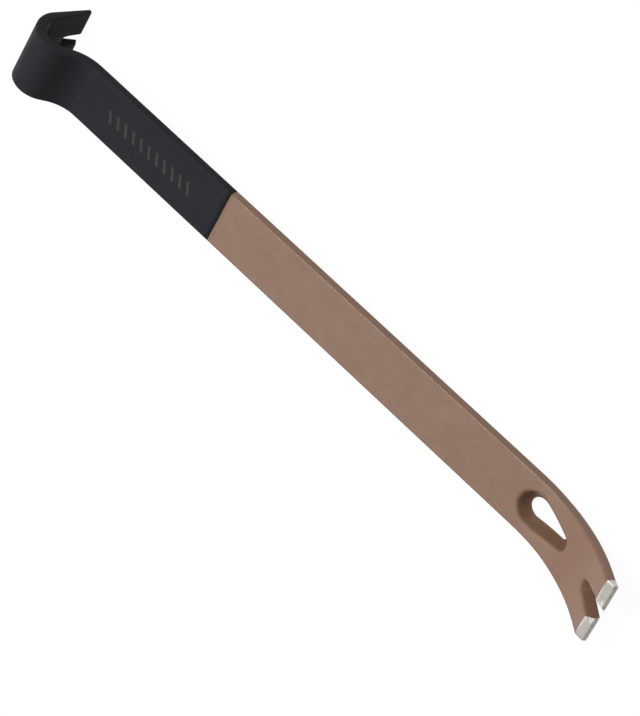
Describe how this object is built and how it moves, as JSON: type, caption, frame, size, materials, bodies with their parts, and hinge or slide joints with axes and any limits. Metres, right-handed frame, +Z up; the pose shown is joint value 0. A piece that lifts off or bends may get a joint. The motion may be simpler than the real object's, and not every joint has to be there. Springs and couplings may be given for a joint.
{
  "type": "pry bar",
  "caption": "Flat pry bar with a hooked claw at one end, a curved ground claw at the other, nail slots in both claws and a teardrop nail hole.",
  "frame": {"origin": "bench level under the middle of the bounding box, with the bar at rest on the hook's claws and the belly of the tip", "axes": "+X along the bar from the hook to the ground tip, +Z up, Y = 0 is the plane of symmetry; the shank slopes down towards the tip by 3.7 degrees"},
  "size_m": [0.3816, 0.037, 0.0361],
  "materials": {
    "ground_steel": "ground bright",
    "black_paint": "satin powder coat",
    "tan_paint": "satin powder coat"
  },
  "bodies": {
    "root": {"forged_bar": "ground_steel", "black_coat": "black_paint", "tan_coat": "tan_paint"}
  },
  "joints": []
}
